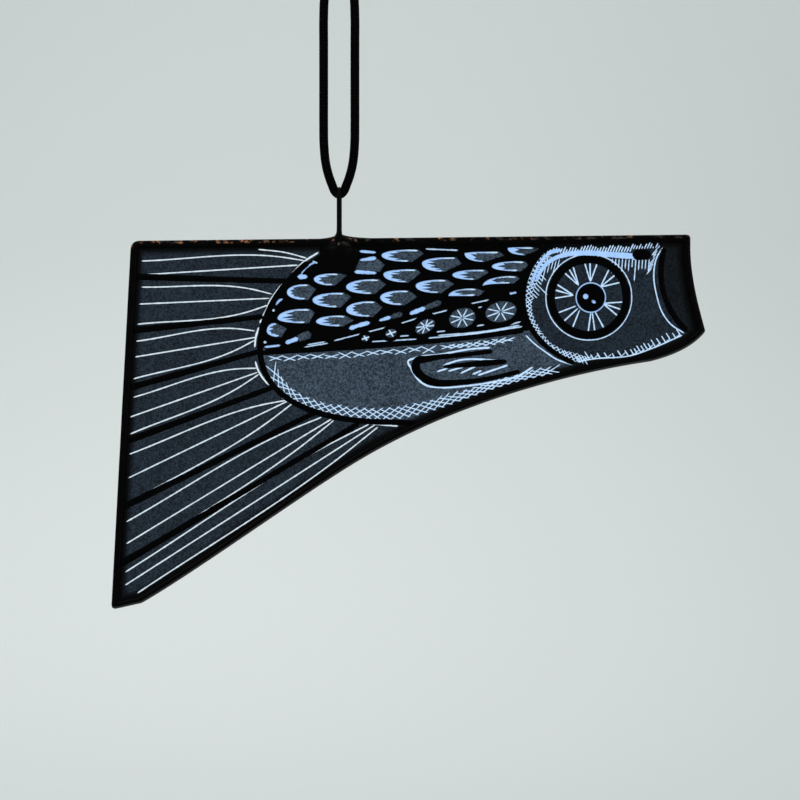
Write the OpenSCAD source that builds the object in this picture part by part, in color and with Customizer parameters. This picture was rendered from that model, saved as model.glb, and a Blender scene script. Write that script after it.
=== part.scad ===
// Painted-glass suncatcher cut in the outline of a carp streamer.
// One sheet of glass carries fired paint on its front and blue enamel on its back.
// Its edge is wrapped in copper foil and soldered. A wire eye hangs from a loop of cord.
// +X points to the head, the painted front faces -Y, and +Z is up.
// The origin is the crotch of the cord loop, where a hook or nail carries it.

/* [Panel] */
// Length of the panel over its solder, tail to mouth
panel_l = 132.5; // [110:0.5:170]
// Height of the panel over its solder
panel_h = 83.7; // [70:0.1:105]
// Thickness of the glass
glass_t = 3; // [2:0.5:4]
// Corner radius at the mouth and the tail tip
corner_r = 1; // [0.4:0.1:1.6]
// Corner radius at the upper tail corner
tail_corner_r = 2.2; // [1:0.1:3]

/* [Edge] */
// Thickness of the copper foil
foil_t = 0.05; // [0.03:0.01:0.1]
// Width of foil turned onto each face of the glass
foil_lap = 1.2; // [0.8:0.1:2]
// Thickness of solder on the edge of the glass
edge_t = 0.4; // [0.2:0.1:0.8]
// Height of the bead at its foot
bead_foot = 0.35; // [0.2:0.05:0.6]
// Height of the bead's crown above its foot
bead_crown = 0.25; // [0.1:0.05:0.5]
// Shoulder on each side of the crown
bead_step = 0.35; // [0.2:0.05:0.5]

/* [Hanger] */
// Diameter of the eye's wire
wire_d = 1; // [0.8:0.1:1.5]
// Height of the eye above the panel's top edge
eye_h = 11.6; // [9:0.1:16]
// Length of each wire leg below the top edge
leg_l = 5; // [3:0.5:6]
// Gap between the wire and the cord it hangs on
eye_gap = 0.05; // [0.02:0.01:0.2]
// Diameter of the solder blob on each face
blob_d = 8.4; // [7:0.1:10]
// Height of the solder blob above the foil
blob_h = 2.2; // [1.8:0.1:3]
// Depth of the blob's centre below the top edge
blob_drop = 2.9; // [2:0.1:4]
// Height of the solder fillet that climbs the legs
fillet_h = 0.9; // [0.4:0.1:2]

/* [Paint] */
// Thickness of the matt coat
matt_t = 0.06; // [0.03:0.01:0.15]
// Thickness of the black trace lines
trace_t = 0.1; // [0.05:0.01:0.2]
// Thickness of the blue enamel on the back
enamel_t = 0.06; // [0.03:0.01:0.15]
// Width of the lines that part the tail, body, head and mouth
line_w = 1.3; // [0.8:0.1:1.8]
// Width of the fin's line at its tip
fin_tip_w = 0.9; // [0.5:0.1:1.3]

/* [Cord] */
// Diameter of the cord
cord_d = 2; // [1.5:0.1:2.2]
// Diameter of the knot
knot_d = 6.4; // [5.5:0.1:8]
// Length of each free end above the knot's centre
end_l = 10; // [6:1:16]
// Lean of each free end from upright
end_lean = 24; // [15:1:40]

/* [Hidden] */
$fn = 48;

// Colours
glass_blue = [0.66, 0.76, 0.86, 0.55];
copper = [0.62, 0.34, 0.22];
patina = [0.09, 0.08, 0.08];
matt_slate = [0.22, 0.26, 0.31];
matt_dark = [0.14, 0.17, 0.21];
matt_black = [0.07, 0.09, 0.1];
enamel_blue = [0.58, 0.74, 0.95];
trace_black = [0.02, 0.02, 0.025];
cord_black = [0.05, 0.05, 0.055];

// Half of the cord's route, from the knot down the tail-side strand to the eye.
// Each point is [x, z], and the other half is its mirror image.
route_half = [
    [-1.2, 0.6], [-1.8, -1], [-2.7, -4], [-3.3, -7.5], [-3.5, -12], [-3.5, -18],
    [-3.5, -24], [-3.5, -30], [-3.5, -36], [-3.5, -42], [-3.5, -47.5],
    [-3.35, -49], [-2.7, -50.5], [-1.5, -51.6], [0, -52]
];
// Number of route points that belong to a strand, and the sides of the cord's tube
strand_points = 11;
cord_sides = 8;
route_low = route_half[len(route_half) - 1].y;
strand_top = route_half[0].y;

// The wire eye straddles the glass and hangs on the lowest point of the cord
wire_r = wire_d / 2;
face_y = glass_t / 2;
foil_y = face_y + foil_t;
bow_r = foil_y + wire_r;
bow_top = route_low + cord_d / 2 + eye_gap + wire_d;
bow_z = bow_top - wire_r - bow_r;
top_z = bow_top - eye_h;
matt_y = face_y + matt_t;

// The drawn panel is 132.5 by 83.7, measured from below the eye and the top edge
drawn_l = 132.5;
drawn_h = 83.7;
lip_inset = edge_t + foil_t + foil_lap;
curve_n = 12;
fillet_n = 4;

function at(p) = [p.x * panel_l / drawn_l, top_z + p.y * panel_h / drawn_h];
function mix(a, b, t) = a + (b - a) * t;
function rev(p) = [for (i = [len(p) - 1:-1:0]) p[i]];
function head(p) = [for (i = [0:len(p) - 2]) p[i]];

// A cubic curve from a to d, drawn in the panel's own measure
function bow(a, b, c, d, n = curve_n) = [
    for (i = [0:n])
        let (t = i / n, s = 1 - t)
        at(s * s * s * a + 3 * s * s * t * b + 3 * s * t * t * c + t * t * t * d)
];

// The line between two points, split in n parts
function line(a, b, n = 4) = [for (i = [0:n]) at(mix(a, b, i / n))];

// The unit direction from a to b, and the same turned to the right
function dir(a, b) = (b - a) / norm(b - a);
function right(d) = [d.y, -d.x];

// Corners and joints of the outline
tail_top = [-46.4, -0.6];
crown = [78.4, 0.8];
lip = [81.7, -20.8];
chin = [69.5, -27.5];
belly = [2.5, -50.8];
tail_heel = [-44, -81.4];
tail_tip = [-50.8, -82.9];

// The outline with sharp corners, clockwise from the upper tail corner
sharp = concat(
    [at(tail_top)],
    head(bow(crown, [78, -7], [79.8, -14], lip, 6)),
    head(bow(lip, [79, -24.3], [74.5, -26.2], chin, 4)),
    head(bow(chin, [49, -30.5], [23, -38], belly)),
    head(bow(belly, [-10, -58.5], [-32, -74.5], tail_heel)),
    [at(tail_heel), at(tail_tip)]
);
function corner_at(p) =
    p == at(tail_top) ? tail_corner_r
    : p == at(crown) || p == at(lip) || p == at(tail_tip) ? corner_r
    : 0;

// The outline moved inwards by k, with each corner rounded about the same centre
function moved(i, k) =
    let (
        n = len(sharp),
        p = sharp[i],
        a = right(dir(sharp[(i + n - 1) % n], p)),
        b = right(dir(p, sharp[(i + 1) % n]))
    )
    p + k * (a + b) / (1 + a * b);
function rounded(q, p, s, r) =
    let (a = dir(p, q), b = dir(p, s), half = acos(a * b) / 2, l = r / tan(half))
    [
        for (i = [0:fillet_n])
            let (t = i / fillet_n, u = 1 - t)
            u * u * (p + a * l) + 2 * u * t * p + t * t * (p + b * l)
    ];
function outline(k) =
    let (n = len(sharp), m = [for (i = [0:n - 1]) moved(i, k)])
    [
        for (i = [0:n - 1])
            let (r = corner_at(sharp[i]))
            each (r == 0 ? [m[i]] : rounded(m[(i + n - 1) % n], m[i], m[(i + 1) % n], max(r - k, 0.2)))
    ];

// A brush stroke along points, w0 wide at its start and w1 at its end
function edge_of(p, w0, w1, s) = [
    for (i = [0:len(p) - 1])
        let (d = dir(p[max(i - 1, 0)], p[min(i + 1, len(p) - 1)]))
        p[i] + s * mix(w0, w1, i / (len(p) - 1)) / 2 * right(d)
];
function stroke(p, w0, w1) = concat(edge_of(p, w0, w1, 1), rev(edge_of(p, w0, w1, -1)));

// An oval's outline, leaning by an angle
function oval(c, rx, rz, lean, n = 24) = [
    for (i = [0:n - 1])
        let (a = 360 * i / n, x = rx * cos(a), z = rz * sin(a))
        at(c + [x * cos(lean) - z * sin(lean), x * sin(lean) + z * cos(lean)])
];

// Lines that part the painted zones
body_edge = concat(
    head(bow([-2.5, -2.6], [-11.5, -7.5], [-17.6, -16], [-17.6, -24.5], 10)),
    bow([-17.6, -24.5], [-17.6, -36], [-5, -41], [11, -41], 10)
);
gill_edge = bow([44.8, -3.2], [39, -10], [38.5, -22], [52.6, -28], 12);
mouth_edge = bow([72.6, -2.2], [70.5, -9], [72.5, -16], [77.6, -20.8], 10);

// Each zone is what lies on the mouth's side of its line
function far_side(p, low) = concat([[p[0].x, top_z + panel_h]], p, [
    [p[len(p) - 1].x + low, top_z - panel_h],
    [panel_l, top_z - panel_h],
    [panel_l, top_z + panel_h]
]);

// Tail rays: where each starts at the tail and ends by the body
rays = [
    [[-44.1, -8.7], [-12.6, -9.6]],
    [[-44.8, -20.5], [-18.2, -17.8]],
    [[-45.6, -33], [-19, -25.6]],
    [[-46.4, -45], [-15.8, -33.8]],
    [[-47.2, -59.5], [-6.6, -39.8]],
    [[-47.8, -72.2], [2.6, -42.2]]
];
ray_w0 = 1.6;
ray_w1 = 1.2;

// Scales: the tip, then the ends of the upper and the lower arm of its pale rim
scales = [
    [[-5.7, -9.1], [-0.1, -7.8], [-0.9, -10.6]],
    [[-11.7, -12.1], [-6.8, -10.2], [-6.9, -13.8]],
    [[-6, -13.8], [1.1, -12.1], [0.3, -15.5]],
    [[-13.8, -17.2], [-6.6, -15.7], [-6.7, -18.8]],
    [[-5.2, -18.6], [1.3, -17.2], [1, -19.7]],
    [[-15.2, -20.6], [-13.8, -19.4], [-12.4, -22]],
    [[1.5, -10.9], [8.9, -9.1], [8, -12.5]],
    [[1.5, -16], [8, -14], [7.6, -17.6]],
    [[9.4, -3.8], [17.8, -2.6], [16.3, -5.3]],
    [[18.4, -5.6], [26.1, -4.2], [23.6, -7.5]],
    [[9.8, -8.2], [17.3, -6.9], [15.5, -9.9]],
    [[17, -10.6], [24, -9.2], [22.8, -12.3]],
    [[9.1, -13.4], [15.5, -11.6], [14.6, -15]],
    [[27.9, -3.7], [35.8, -3], [32.5, -5.3]],
    [[34, -6.3], [38.8, -5.3], [38.4, -7.3]],
    [[25.1, -8.2], [32.6, -7], [30.7, -9.3]],
    [[31.9, -10.8], [37, -8.8], [36.6, -10.4]],
    [[24.3, -12.9], [30.4, -11.2], [32, -12.5]],
    [[15.7, -16.9], [21.8, -14], [22, -14.9]],
    [[8.9, -18.5], [13.4, -16.5], [13.3, -17.4]]
];
scale_bulge = 0.62;
scale_point = [1.9, 0.35];

// A scale's window: round its tip, then to a point past its arms
function window(s) =
    let (
        up = s[1],
        low = s[2],
        tip = s[0],
        lift = [0, (up.y - tip.y) * scale_bulge],
        fall = [0, (tip.y - low.y) * scale_bulge]
    )
    concat(
        head(bow(up, up - [(up.x - tip.x) * scale_bulge, 0], tip + lift, tip, 6)),
        bow(tip, tip - fall, low - [(low.x - tip.x) * scale_bulge, 0], low, 6),
        [at([max(up.x, low.x) + scale_point.x, mix(up.y, low.y, scale_point.y)])]
    );

// The black field that the scales are windows in, clear of the lines round it
scale_field = concat(
    head(bow([-5.2, -5.4], [-11.2, -9.5], [-15.9, -16.5], [-15.9, -23.4], 8)),
    bow([-15.9, -23.4], [0, -23.5], [20, -15.5], [39.9, -11.6], 10),
    [at([40.3, -9.6]), at([41.1, -7]), at([42.3, -4.6]), at([42.6, -2]), at([4, -2])]
);

// Spots on the side: centre, half length and half height of the outer edge
spots = [
    [[-2.2, -23], 0.8, 0.7],
    [[1.8, -22.7], 0.9, 0.8],
    [[5.8, -21.9], 1.9, 1.5],
    [[11.6, -21.1], 2.7, 2],
    [[19.1, -19.8], 3.5, 2.5],
    [[27.6, -17.8], 3.9, 3],
    [[36, -16.5], 4.1, 3.2]
];
spot_lean = 18;
spot_w = 1.1;
open_spot = 1.5;
side_line = bow([-17.6, -25.6], [0, -24.6], [22, -23.6], [41.2, -20.7], 8);

// Pectoral fin: its edge from the upper root round to the tip, and the ray inside it
fin_edge = concat(
    head(bow([34.3, -25.2], [28, -26], [19, -26.4], [15.4, -27.4], 6)),
    bow([15.4, -27.4], [17.5, -33.5], [24, -34.5], [40.4, -30.2], 8)
);
fin_ray = bow([23.2, -28.6], [28, -28.6], [33, -28.2], [37.2, -27.4], 4);
fin_ray_w = 1.6;

eye_at = [56, -12.9];
eye_r = 8.9;
eye_w = 1.4;
pupil_r = 2.9;

// Where the zones and their lines stand in depth, front and back
module slab(y0, y1) {
    translate([0, y1, 0]) rotate([90, 0, 0]) linear_extrude(height = y1 - y0) children();
}
module plate(k) {
    polygon(outline(k));
}
module ring(k0, k1) {
    difference() {
        plate(k0);
        plate(k1);
    }
}
module on_front(t) {
    slab(-matt_y - t, -matt_y) children();
}

module glass_panel() {
    color(glass_blue) slab(-face_y, face_y) plate(edge_t + foil_t);
}

module copper_foil() {
    color(copper) difference() {
        slab(-foil_y, foil_y) ring(edge_t, lip_inset);
        slab(-face_y, face_y) plate(edge_t + foil_t);
    }
}

// The bead on one face, left open where the blob sits
module bead() {
    y1 = foil_y + bead_foot;
    difference() {
        union() {
            slab(foil_y, y1) ring(0, lip_inset);
            slab(y1, y1 + bead_crown) ring(bead_step, lip_inset - bead_step);
        }
        blob_hole();
    }
}
module blob_hole() {
    translate([0, 0, top_z - blob_drop]) rotate([-90, 0, 0]) cylinder(h = 4 * glass_t, d = blob_d);
}
module blob_foot() {
    translate([0, top_z - blob_drop]) circle(d = blob_d);
}
module solder_bead_front() {
    color(patina) mirror([0, 1, 0]) bead();
}
module solder_bead_back() {
    color(patina) bead();
}
module solder_edge() {
    color(patina) slab(-foil_y, foil_y) ring(0, edge_t);
}

// A disc of foil under the blob, butted against the foil of the rim
module patch() {
    intersection() {
        slab(face_y, foil_y) plate(lip_inset);
        blob_hole();
    }
}
module foil_patch_front() {
    color(copper) mirror([0, 1, 0]) patch();
}
module foil_patch_back() {
    color(copper) patch();
}

// The hairpin: two legs and a round bow
module legs(r) {
    leg_z = top_z - leg_l;
    for (s = [-1, 1])
        translate([0, s * bow_r, leg_z]) cylinder(h = bow_z - leg_z, r = r);
}
module hanger_wire() {
    color(patina) union() {
        legs(wire_r);
        translate([0, 0, bow_z]) rotate([90, 0, 90]) rotate_extrude(angle = 180)
            translate([bow_r, 0]) circle(r = wire_r);
    }
}

// A low dome of solder that buries a leg
module blob() {
    r = (blob_d * blob_d / 4 + blob_h * blob_h) / (2 * blob_h);
    difference() {
        intersection() {
            translate([0, foil_y + blob_h - r, top_z - blob_drop]) sphere(r = r);
            slab(foil_y, foil_y + blob_h) plate(0);
        }
        legs(wire_r);
    }
}
module solder_blob_front() {
    color(patina) mirror([0, 1, 0]) blob();
}
module solder_blob_back() {
    color(patina) blob();
}

// Solder drawn up the legs on the top edge, longer towards the head
module solder_fillet() {
    foot = [for (x = [-5, 8]) mix(tail_top, crown, (x - tail_top.x) / (crown.x - tail_top.x))];
    color(patina) difference() {
        slab(-foil_y, foil_y) polygon([
            at(foot[0]),
            at([-1.6, 0.3]),
            at([-0.8, fillet_h]),
            at([0.8, fillet_h]),
            at([2.2, 0.35]),
            at(foot[1])
        ]);
        legs(wire_r);
    }
}

// The matt coat, zone by zone, clear of the blob
module zone(near, far) {
    slab(-matt_y, -face_y) difference() {
        intersection() {
            plate(lip_inset);
            polygon(near);
        }
        polygon(far);
        blob_foot();
    }
}
body_side = far_side(body_edge, 20);
head_side = far_side(gill_edge, 1);
mouth_side = far_side(mouth_edge, 8);
module matt_tail() {
    color(matt_dark) slab(-matt_y, -face_y) difference() {
        plate(lip_inset);
        polygon(body_side);
        blob_foot();
    }
}
module matt_body() {
    color(matt_slate) zone(body_side, head_side);
}
module matt_head() {
    color(matt_dark) zone(head_side, mouth_side);
}
module matt_mouth() {
    color(matt_black) slab(-matt_y, -face_y) intersection() {
        plate(lip_inset);
        polygon(mouth_side);
    }
}

module enamel_back() {
    color(enamel_blue) slab(face_y, face_y + enamel_t) difference() {
        intersection() {
            plate(lip_inset);
            polygon(body_side);
        }
        blob_foot();
    }
}

// Black lines, laid on the matt coat
module trace_tail_rays() {
    color(trace_black) for (r = rays)
        on_front(trace_t) polygon(stroke(line(r[0], r[1]), ray_w0, ray_w1));
}
module trace_body_edge() {
    color(trace_black) on_front(trace_t) difference() {
        polygon(stroke(body_edge, line_w, line_w));
        blob_foot();
    }
}
module trace_scales() {
    color(trace_black) on_front(trace_t) difference() {
        polygon(scale_field);
        blob_foot();
        for (s = scales)
            polygon(window(s));
    }
}
module trace_side_line() {
    color(trace_black) on_front(trace_t) difference() {
        polygon(stroke(side_line, line_w, line_w));
        polygon(stroke(body_edge, line_w, line_w));
    }
}
module trace_side_spots() {
    color(trace_black) for (s = spots)
        on_front(trace_t) difference() {
            polygon(oval(s[0], s[1], s[2], spot_lean));
            if (s[2] > open_spot)
                polygon(oval(s[0], s[1] - spot_w, s[2] - spot_w, spot_lean));
        }
}
module trace_fin() {
    color(trace_black) {
        on_front(trace_t) polygon(stroke(fin_edge, line_w, fin_tip_w));
        on_front(trace_t) polygon(stroke(fin_ray, fin_ray_w, fin_tip_w / 2));
    }
}
module trace_gill() {
    color(trace_black) on_front(trace_t) polygon(stroke(gill_edge, line_w, line_w));
}
module trace_eye() {
    color(trace_black) {
        on_front(trace_t) difference() {
            translate(at(eye_at)) circle(r = eye_r);
            translate(at(eye_at)) circle(r = eye_r - eye_w);
        }
        on_front(trace_t) translate(at(eye_at)) circle(r = pupil_r);
    }
}
module trace_mouth() {
    color(trace_black) on_front(trace_t) polygon(stroke(mouth_edge, line_w, line_w));
}

// One length of cord: a ring of points about each point of its route, square-cut at its ends
module tube(p) {
    n = len(p);
    m = cord_sides;
    points = [
        for (i = [0:n - 1])
            let (
                d = dir(p[max(i - 1, 0)], p[min(i + 1, n - 1)]),
                side = right(i == 0 || i == n - 1 ? [0, sign(d.y)] : d)
            )
            for (j = [0:m - 1])
                let (a = 360 * (j + 0.5) / m, q = p[i] + side * cos(a) * cord_d / 2)
                [q.x, sin(a) * cord_d / 2, q.y]
    ];
    sides = [
        for (i = [0:n - 2], j = [0:m - 1])
            let (k = (j + 1) % m)
            [i * m + j, (i + 1) * m + j, (i + 1) * m + k, i * m + k]
    ];
    near = [[for (j = [0:m - 1]) j]];
    far = [[for (j = [m - 1:-1:0]) (n - 1) * m + j]];
    polyhedron(points = points, faces = concat(near, sides, far));
}
strand = [for (i = [0:strand_points - 1]) route_half[i]];
half_bight = [for (i = [strand_points - 1:len(route_half) - 1]) route_half[i]];
bight = concat(half_bight, [for (p = rev(head(half_bight))) [-p.x, p.y]]);
module cord_strands() {
    color(cord_black) {
        tube(strand);
        mirror([1, 0, 0]) tube(strand);
    }
}
module cord_bight() {
    color(cord_black) tube(bight);
}

// The two cord ends tied together, cut flat below where the strands leave
module cord_knot() {
    knot_z = strand_top + knot_d * 0.36;
    color(cord_black) difference() {
        union() {
            translate([0, 0, knot_z]) sphere(d = knot_d);
            for (s = [-1, 1])
                translate([0, 0, knot_z]) rotate([0, s * end_lean, 0]) cylinder(h = end_l, d = cord_d);
        }
        translate([0, 0, strand_top - knot_d / 2]) cube(knot_d, center = true);
    }
}

glass_panel();
copper_foil();
solder_bead_front();
solder_bead_back();
solder_edge();
foil_patch_front();
foil_patch_back();
hanger_wire();
solder_blob_front();
solder_blob_back();
solder_fillet();
matt_tail();
matt_body();
matt_head();
matt_mouth();
enamel_back();
trace_tail_rays();
trace_body_edge();
trace_scales();
trace_side_line();
trace_side_spots();
trace_fin();
trace_gill();
trace_eye();
trace_mouth();
cord_knot();
cord_strands();
cord_bight();
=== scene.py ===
"""Painted-glass carp streamer suncatcher, on its loop of cord.

Sections follow the object as it is put together: the room, the cord, the glass sheet, its paint,
the foil and solder round it, and the wire eye. Painting places are in millimetres across from the
eye and up from the panel's top edge. Everything else is in metres, in the frame of the CAD model.
"""
import math

import bmesh
import bpy
import numpy as np
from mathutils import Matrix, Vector
from mathutils.geometry import delaunay_2d_cdt


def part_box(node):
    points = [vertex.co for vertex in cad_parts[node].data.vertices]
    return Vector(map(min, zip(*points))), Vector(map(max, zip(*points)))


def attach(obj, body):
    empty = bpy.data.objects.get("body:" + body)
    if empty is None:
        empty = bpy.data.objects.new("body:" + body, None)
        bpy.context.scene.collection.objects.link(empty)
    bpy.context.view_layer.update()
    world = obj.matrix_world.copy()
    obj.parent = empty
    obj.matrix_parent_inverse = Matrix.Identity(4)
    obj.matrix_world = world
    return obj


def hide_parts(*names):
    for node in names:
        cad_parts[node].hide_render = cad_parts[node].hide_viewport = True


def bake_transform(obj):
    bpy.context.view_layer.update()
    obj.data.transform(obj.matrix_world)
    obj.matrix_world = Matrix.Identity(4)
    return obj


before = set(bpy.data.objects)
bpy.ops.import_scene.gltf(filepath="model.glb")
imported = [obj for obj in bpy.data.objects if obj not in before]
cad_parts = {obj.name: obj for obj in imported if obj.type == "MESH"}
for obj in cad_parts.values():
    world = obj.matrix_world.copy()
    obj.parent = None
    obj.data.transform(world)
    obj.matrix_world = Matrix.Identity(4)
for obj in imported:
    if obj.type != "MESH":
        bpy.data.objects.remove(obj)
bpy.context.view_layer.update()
MM = 0.001

# ---------------------------------------------------------------------------------------------
# The room: a pale sweep behind and below, a soft light on each side and a camera square to the
# painted face. The panel hangs clear of the floor.
# ---------------------------------------------------------------------------------------------
rim_low, rim_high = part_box("solder_edge")
CROWN_RISE = 0.8 * MM                    # the top edge climbs this much towards the mouth
TOP_Z = rim_high.z - CROWN_RISE          # height of the top edge under the eye
VIEW_W = 178.4 * MM                      # width of the view at the panel
VIEW_X, VIEW_DROP = 13.6 * MM, 36.1 * MM
LENS, SENSOR = 70.0, 36.0

scene = bpy.context.scene
scene.view_settings.view_transform = "Standard"


def add_camera():
    """A camera square to the panel, at the distance where VIEW_W fills the frame."""
    data = bpy.data.cameras.new("camera")
    data.lens, data.sensor_width = LENS, SENSOR
    data.clip_start, data.clip_end = 0.01, 20
    camera = bpy.data.objects.new("camera", data)
    camera.location = (VIEW_X, rim_low.y - VIEW_W * LENS / SENSOR, TOP_Z - VIEW_DROP)
    camera.rotation_euler = (math.pi / 2, 0, 0)
    scene.collection.objects.link(camera)
    scene.camera = camera


class Wire:
    """One socket of a finish. Sums, differences and products add their Math nodes."""

    def __init__(self, finish, socket):
        self.finish, self.socket = finish, socket

    def math(self, operation, *values):
        sockets = dict(enumerate(values))
        return self.finish.node("ShaderNodeMath", {"operation": operation}, sockets)

    def __add__(self, other):
        return self.math("ADD", self, other)

    def __sub__(self, other):
        return self.math("SUBTRACT", self, other)

    def __rsub__(self, other):
        return self.math("SUBTRACT", other, self)

    def __mul__(self, other):
        return self.math("MULTIPLY", self, other)

    __radd__ = __add__
    __rmul__ = __mul__


class Finish:
    """A material with one Principled shader. Constants go straight on the shader's sockets."""

    def __init__(self, name, **constants):
        self.material = bpy.data.materials.new(name)
        self.material.use_nodes = True
        self.tree = self.material.node_tree
        self.shader = self.tree.nodes["Principled BSDF"]
        for key, value in constants.items():
            self.shader.inputs[key.replace("_", " ")].default_value = value

    def plug(self, socket, value):
        if isinstance(value, Wire):
            self.tree.links.new(value.socket, socket)
        else:
            socket.default_value = value

    def node(self, kind, settings=None, sockets=None, out=0):
        """Any node: its type, its settings (stops are a ramp's), then its sockets."""
        node = self.tree.nodes.new(kind)
        for key, value in (settings or {}).items():
            if key == "stops":
                ramp = node.color_ramp.elements
                for element, (place, shade) in zip(ramp, value[:2]):
                    element.position = place
                for place, shade in value[2:]:
                    ramp.new(place)
                for element, (place, shade) in zip(ramp, sorted(value)):
                    element.color = (shade, shade, shade, 1)
            else:
                setattr(node, key, value)
        for key, value in (sockets or {}).items():
            self.plug(node.inputs[key], value)
        return Wire(self, node.outputs[out])

    def feed(self, **sockets):
        """Varying values go to the shader's own sockets."""
        for key, value in sockets.items():
            self.plug(self.shader.inputs[key.replace("_", " ")], value)
        return self.material

    def place(self):
        return self.node("ShaderNodeTexCoord", out="Object")

    def noise(self, scale, detail=3.0, rough=0.5, vector=None):
        sockets = {"Scale": scale, "Detail": detail, "Roughness": rough}
        sockets["Vector"] = vector or self.place()
        return self.node("ShaderNodeTexNoise", None, sockets)

    def ramp(self, value, *stops):
        return self.node("ShaderNodeValToRGB", {"stops": list(stops)}, {"Fac": value})

    def mix(self, factor, a, b):
        """Colour a turning to colour b; either is a wire or three numbers."""
        node = self.tree.nodes.new("ShaderNodeMix")
        node.data_type = "RGBA"
        for index, value in ((0, factor), (6, a), (7, b)):
            colour = isinstance(value, tuple) and len(value) == 3
            self.plug(node.inputs[index], (*value, 1) if colour else value)
        return Wire(self, node.outputs[2])

    def bump(self, height, distance, strength=1.0):
        sockets = {"Height": height, "Distance": distance, "Strength": strength}
        return self.node("ShaderNodeBump", None, sockets)


def turn_outwards(mesh):
    """Flips a closed mesh whose signed volume, the sum of its corner triple products, is below
    zero."""
    mesh.calc_loop_triangles()
    corner = np.empty(len(mesh.loop_triangles) * 3, np.int32)
    mesh.loop_triangles.foreach_get("vertices", corner)
    place = np.empty(len(mesh.vertices) * 3, np.float32)
    mesh.vertices.foreach_get("co", place)
    a, b, c = place.reshape(-1, 3).astype(float)[corner.reshape(-1, 3)].transpose(1, 0, 2)
    if np.einsum("ij,ij->", a, np.cross(b, c)) < 0:
        mesh.flip_normals()


def surface(name, points, faces, material, smooth=True):
    """A mesh object from points and faces, at the origin, with its place in its mesh."""
    mesh = bpy.data.meshes.new(name)
    mesh.from_pydata(np.asarray(points, float).tolist(), [], [tuple(map(int, f)) for f in faces])
    mesh.materials.append(material)
    turn_outwards(mesh)
    if smooth:
        mesh.shade_smooth()
    piece = bpy.data.objects.new(name, mesh)
    scene.collection.objects.link(piece)
    return piece


def grid_faces(rows, columns, close_rows=False, close_columns=False):
    """Quads between neighbours of a grid of points, row by row, wrapped where it closes."""
    r, c = np.meshgrid(
        np.arange(rows if close_rows else rows - 1),
        np.arange(columns if close_columns else columns - 1),
        indexing="ij",
    )
    r, c = r.ravel(), c.ravel()
    r1, c1 = (r + 1) % rows, (c + 1) % columns
    return np.stack([r * columns + c, r1 * columns + c, r1 * columns + c1, r * columns + c1], 1)


def add_sweep():
    """A floor that turns up into a wall: straight, a quarter circle, then straight again. Its colour carries
    painted shade, darker away from the lower left.
    """
    floor_z, wall_y, bend, wide, high = -0.42, 1.3, 0.5, 2.6, 2.2
    turn = np.linspace(0, math.pi / 2, 24)
    y = np.concatenate([[-wide], wall_y - bend + bend * np.sin(turn), [wall_y]])
    z = np.concatenate([[floor_z], floor_z + bend * (1 - np.cos(turn)), [high]])
    x = np.array([-wide, wide])
    points = np.stack([np.repeat(x, len(y)), np.tile(y, 2), np.tile(z, 2)], 1)
    finish = Finish("backdrop_paper_painted_shade", Roughness=0.95)
    # Painted shade: the paper is lightest near a point low on the left of the wall and darker with distance
    # from it, a light falloff painted into its colour.
    middle = {0: finish.place(), 1: (-0.3, wall_y, -0.45)}
    away = finish.node("ShaderNodeVectorMath", {"operation": "DISTANCE"}, middle, "Value")
    shade = finish.ramp(away, (0.05, 0.0), (1.0, 1.0))
    finish.feed(Base_Color=finish.mix(shade, (0.70, 0.722, 0.714), (0.545, 0.568, 0.566)))
    sweep = surface("backdrop", points, grid_faces(2, len(y)), finish.material)


def add_light(name, place, target, size, watts):
    data = bpy.data.lights.new(name, "AREA")
    data.shape, data.size, data.energy = "DISK", size, watts
    light = bpy.data.objects.new(name, data)
    light.location = place
    light.rotation_euler = (Vector(target) - Vector(place)).to_track_quat("-Z", "Y").to_euler()
    scene.collection.objects.link(light)


def add_room():
    world = bpy.data.worlds.new("studio")
    world.use_nodes = True
    sky = world.node_tree.nodes["Background"].inputs
    sky["Color"].default_value = (0.80, 0.86, 0.86, 1)
    sky["Strength"].default_value = 0.75
    scene.world = world
    middle = (0, 0, TOP_Z)
    add_light("key", (-0.9, -1.1, 0.9), middle, 0.8, 14)
    add_light("fill", (1.2, -0.9, 0.2), middle, 1.0, 7)
    add_light("top", (0.2, 0.25, 1.2), middle, 0.9, 9)


add_camera()
add_sweep()
add_room()

# ---------------------------------------------------------------------------------------------
# The cord: 2 mm round black waxed cord in one length, from the knot down to the wire eye and
# back up. It turns under the bow of the eye, and the whole panel hangs on that turn.
# ---------------------------------------------------------------------------------------------
CORD_D = 2 * MM
ROUTE_HALF = np.array([
    (-0.8, 2.5), (-1.15, 1.0), (-1.85, -1.2), (-2.7, -4), (-3.3, -7.5), (-3.5, -12), (-3.5, -18),
    (-3.5, -24), (-3.5, -30), (-3.5, -36), (-3.43, -40.5), (-3.05, -44.5), (-2.4, -47.3),
    (-1.6, -49.5), (-0.85, -51.1), (0, -51.7),
]) * MM
KNOT = Vector((0, 0, 2.9 * MM))


def through(points, step):
    """A smooth curve through the points: cubic pieces whose slopes follow their neighbours."""
    p = np.asarray(points, float)
    gaps = np.maximum(np.linalg.norm(np.diff(p, axis=0), axis=1), 1e-9)
    along = np.concatenate([[0], np.cumsum(gaps)])
    slope = np.gradient(p, along, axis=0) if len(p) > 2 else np.repeat(np.diff(p, axis=0) / gaps[0], 2, 0)
    s = np.linspace(0, along[-1], max(int(round(along[-1] / step)), 2) + 1)
    i = np.clip(np.searchsorted(along, s, side="right") - 1, 0, len(p) - 2)
    h = gaps[i][:, None]
    t = ((s - along[i]) / gaps[i])[:, None]
    return (
        (2 * t**3 - 3 * t**2 + 1) * p[i]
        + (t**3 - 2 * t**2 + t) * h * slope[i]
        + (3 * t**2 - 2 * t**3) * p[i + 1]
        + (t**3 - t**2) * h * slope[i + 1]
    )


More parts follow.
